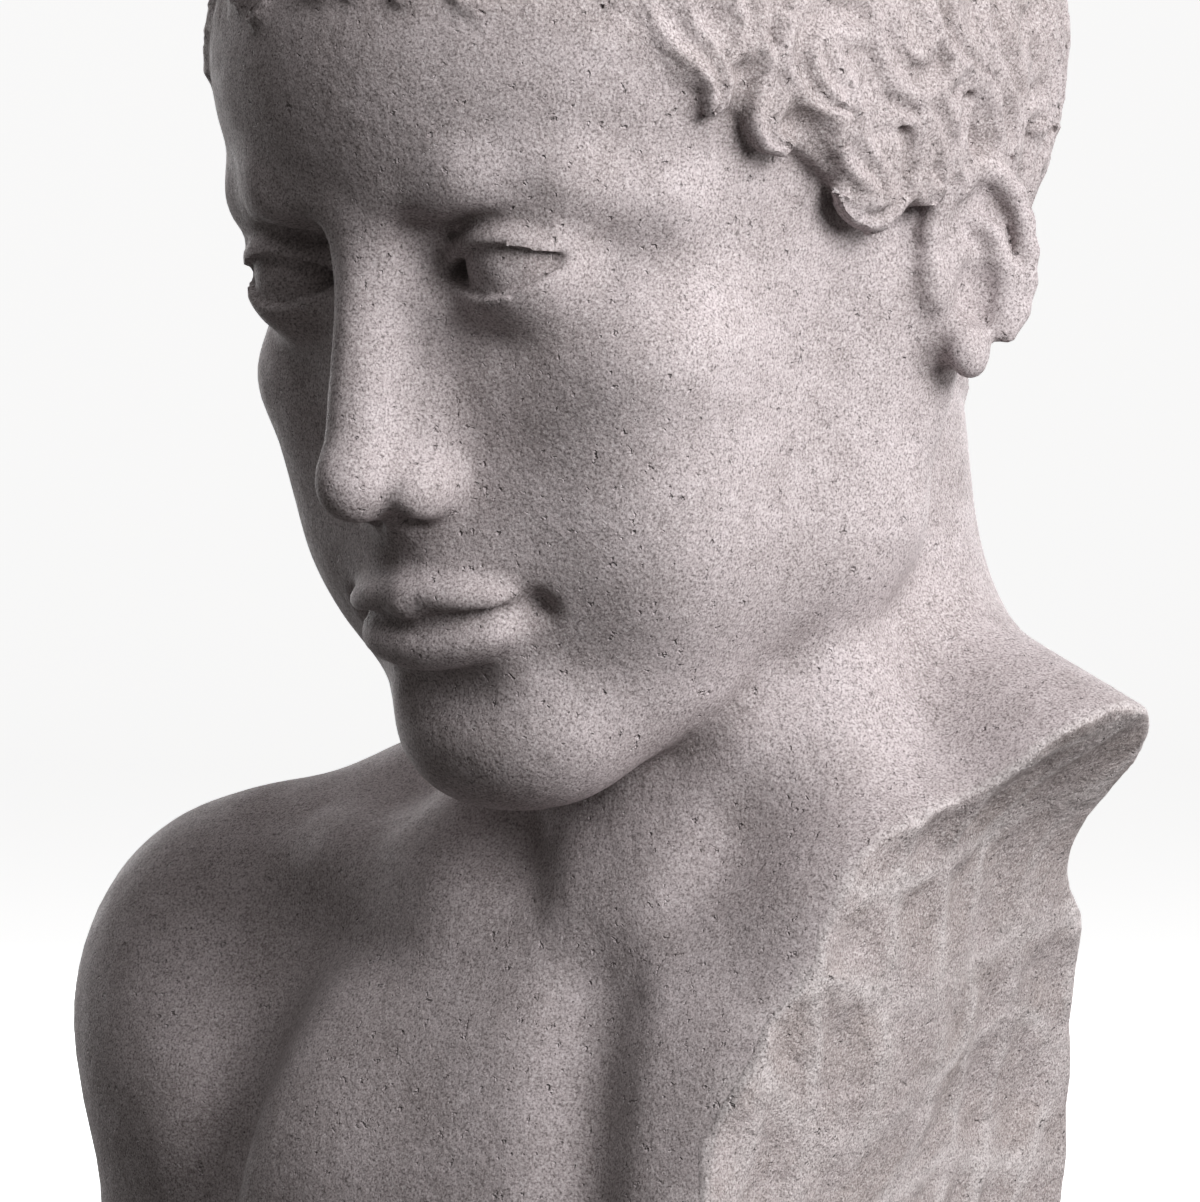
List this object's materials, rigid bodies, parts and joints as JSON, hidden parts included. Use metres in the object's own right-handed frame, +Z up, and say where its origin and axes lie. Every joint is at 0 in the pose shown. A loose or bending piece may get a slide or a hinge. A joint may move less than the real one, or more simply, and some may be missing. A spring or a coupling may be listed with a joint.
{
  "type": "roman bust",
  "caption": "Weathered marble bust of a bowed young head with carved hair, one shoulder whole and the other broken away, cut flat below to stand on a shelf.",
  "frame": {"origin": "middle of the bounding box's footprint, on the flat underside", "axes": "+Z up, the chest faces -Y, +X towards the figure's left, the broken side"},
  "size_m": [0.2734, 0.213, 0.3663],
  "materials": {
    "marble": "weathered, matt"
  },
  "bodies": {
    "root": {"marble_bust": "marble"}
  },
  "joints": []
}
